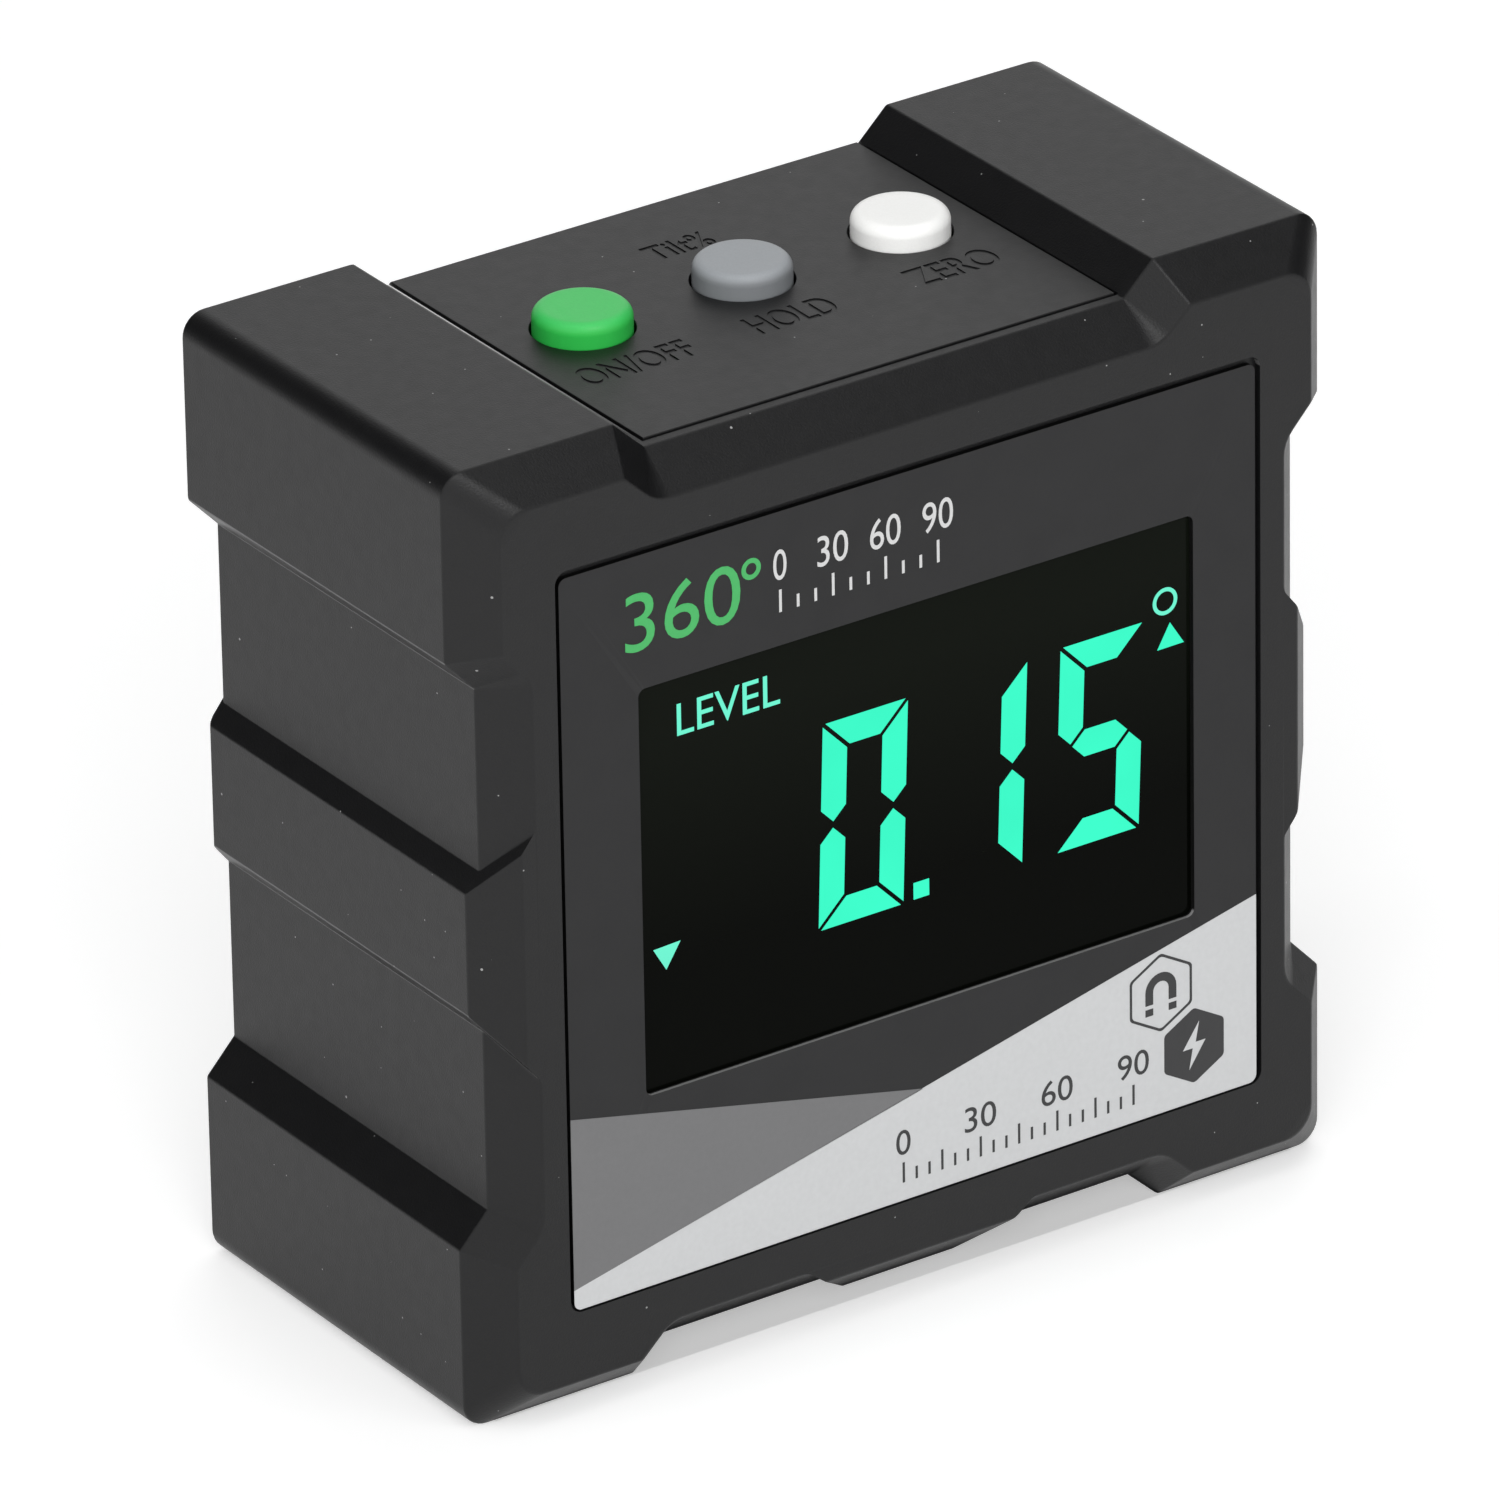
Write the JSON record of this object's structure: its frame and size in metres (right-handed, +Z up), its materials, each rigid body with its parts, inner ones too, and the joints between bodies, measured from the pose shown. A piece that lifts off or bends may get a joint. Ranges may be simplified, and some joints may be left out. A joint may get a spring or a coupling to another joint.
{
  "type": "digital angle gauge",
  "caption": "Square electronic angle gauge with a lit display on its face, push buttons in a sunk top and magnetic corner blocks on every side to stand on.",
  "frame": {"origin": "middle of the base, on the plane of the lower corner blocks", "axes": "+X to the right along the face, +Y from the face to the back, +Z up to the buttons"},
  "size_m": [0.06, 0.029, 0.06],
  "materials": {
    "case_plastic": "fine texture",
    "panel_plastic": "fine texture",
    "black_rubber": "matt",
    "green_button": "satin",
    "grey_button": "satin",
    "white_button": "satin",
    "switch_plastic": "matt",
    "board_laminate": "satin",
    "screw_steel": "plated",
    "socket_steel": "plated",
    "printed_plate": "printed, satin",
    "dark_pane": "polished",
    "display_glass": "polished",
    "clear_guide": "polished",
    "contact_rubber": "matt",
    "cell_foil": "satin",
    "foam_tape": "matt",
    "magnet_plating": "plated"
  },
  "bodies": {
    "gauge_body": {"housing": "case_plastic", "back_cover": "case_plastic", "top_panel": "panel_plastic", "back_seal": "black_rubber", "port_plug": "black_rubber", "tact_switches": "switch_plastic", "link_header": "switch_plastic", "tilt_sensor": "switch_plastic", "controller_chip": "switch_plastic", "keypad_board": "board_laminate", "main_board": "board_laminate", "cover_screws": "screw_steel", "keypad_screws": "screw_steel", "board_screws": "screw_steel", "charge_socket": "socket_steel", "battery_tabs": "socket_steel", "face_label": "printed_plate", "display_window": "dark_pane", "lcd_glass": "display_glass", "light_guide": "clear_guide", "backlight_leds": "clear_guide", "zebra_strip": "contact_rubber", "battery_cell": "cell_foil", "battery_tape": "foam_tape", "magnets_left": "magnet_plating", "magnets_right": "magnet_plating", "magnets_top": "magnet_plating", "magnets_base": "magnet_plating"},
    "power_button": {"button_power": "green_button", "plunger_power": "switch_plastic"},
    "hold_button": {"button_hold": "grey_button", "plunger_hold": "switch_plastic"},
    "zero_button": {"button_zero": "white_button", "plunger_zero": "switch_plastic"}
  },
  "joints": [
    {"name": "power_press", "type": "slide", "parent": "gauge_body", "child": "power_button", "axis": [0, 0, -1], "range_m": [0, 0.0005], "stiffness_N_per_m": 400},
    {"name": "hold_press", "type": "slide", "parent": "gauge_body", "child": "hold_button", "axis": [0, 0, -1], "range_m": [0, 0.0005], "stiffness_N_per_m": 400},
    {"name": "zero_press", "type": "slide", "parent": "gauge_body", "child": "zero_button", "axis": [0, 0, -1], "range_m": [0, 0.0005], "stiffness_N_per_m": 400}
  ]
}
